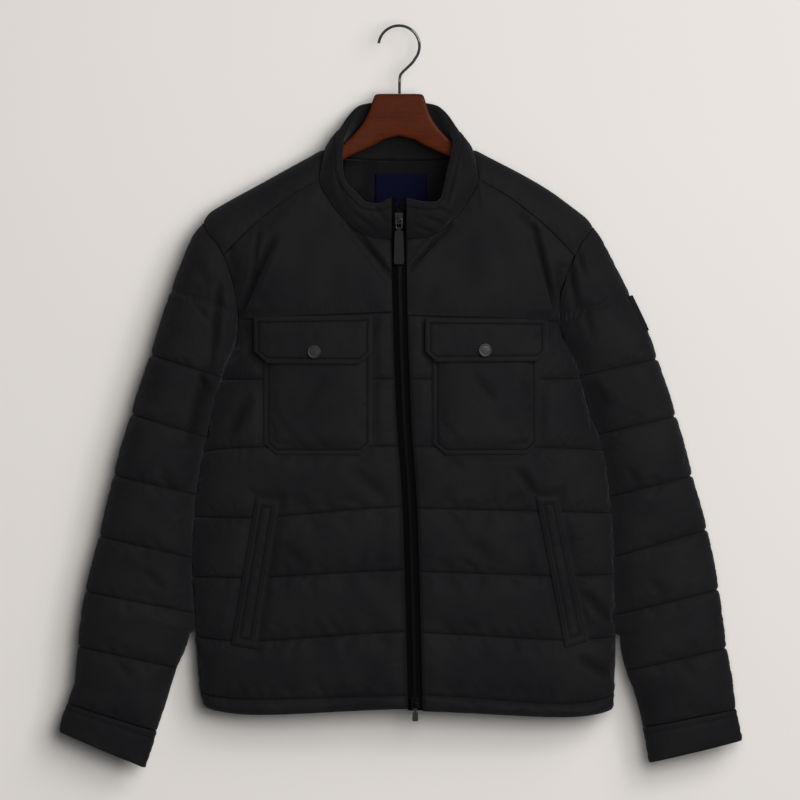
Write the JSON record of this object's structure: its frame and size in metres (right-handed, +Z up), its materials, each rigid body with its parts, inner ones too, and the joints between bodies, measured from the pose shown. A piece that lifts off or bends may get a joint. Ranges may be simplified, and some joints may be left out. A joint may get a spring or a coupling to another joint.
{
  "type": "quilted jacket on a hanger",
  "caption": "Padded jacket with quilted body and sleeves, plain yokes, stand collar, front zip, chest and hand pockets, hanging on a wooden hanger.",
  "frame": {"origin": "inside top of the hanger's hook, where a rail or peg carries it", "axes": "+Z up, -Y out of the jacket's front, -X towards the wearer's right sleeve"},
  "size_m": [0.8613, 0.1342, 0.9434],
  "materials": {
    "shell": "matte charcoal polyester",
    "lining": "black satin",
    "label": "plain navy woven label",
    "patch": "plain woven patch",
    "zip_tape": "woven tape",
    "zip_coil": "satin nylon coil",
    "zip_metal": "gunmetal",
    "pull_rubber": "matte moulded",
    "snap_metal": "gunmetal",
    "wood": "varnished mahogany",
    "chrome_wire": "polished"
  },
  "bodies": {
    "root": {"hanger_body": "wood", "hanger_hook": "chrome_wire", "back_yoke": "shell", "back_panel": "shell", "front_yoke_left": "shell", "front_yoke_right": "shell", "front_left": "shell", "front_right": "shell", "sleeve_left": "shell", "sleeve_right": "shell", "cuff_left": "shell", "cuff_right": "shell", "collar": "shell", "neck_lining": "lining", "neck_label": "label", "chest_pocket_left": "shell", "chest_pocket_right": "shell", "pocket_flap_left": "shell", "pocket_flap_right": "shell", "hand_welt_left": "shell", "hand_welt_right": "shell", "snap_left": "snap_metal", "snap_right": "snap_metal", "sleeve_patch": "patch", "zip_tape_left": "zip_tape", "zip_tape_right": "zip_tape", "zip_chain": "zip_coil", "zip_slider": "zip_metal", "hem_slider": "zip_metal"},
    "zip_pull": {"zip_pull_link": "zip_metal", "zip_pull_tab": "pull_rubber"},
    "hem_pull": {"hem_pull_link": "zip_metal", "hem_pull_tab": "zip_metal"}
  },
  "joints": [
    {"name": "zip_pull_swing", "type": "hinge", "parent": "root", "child": "zip_pull", "pos_m": [0, -0.06258, -0.24534], "axis": [-1, 0, 0], "range_deg": [0, 150]},
    {"name": "hem_pull_swing", "type": "hinge", "parent": "root", "child": "hem_pull", "pos_m": [0.02043, -0.05494, -0.85622], "axis": [-1, 0, 0], "range_deg": [0, 150]}
  ]
}
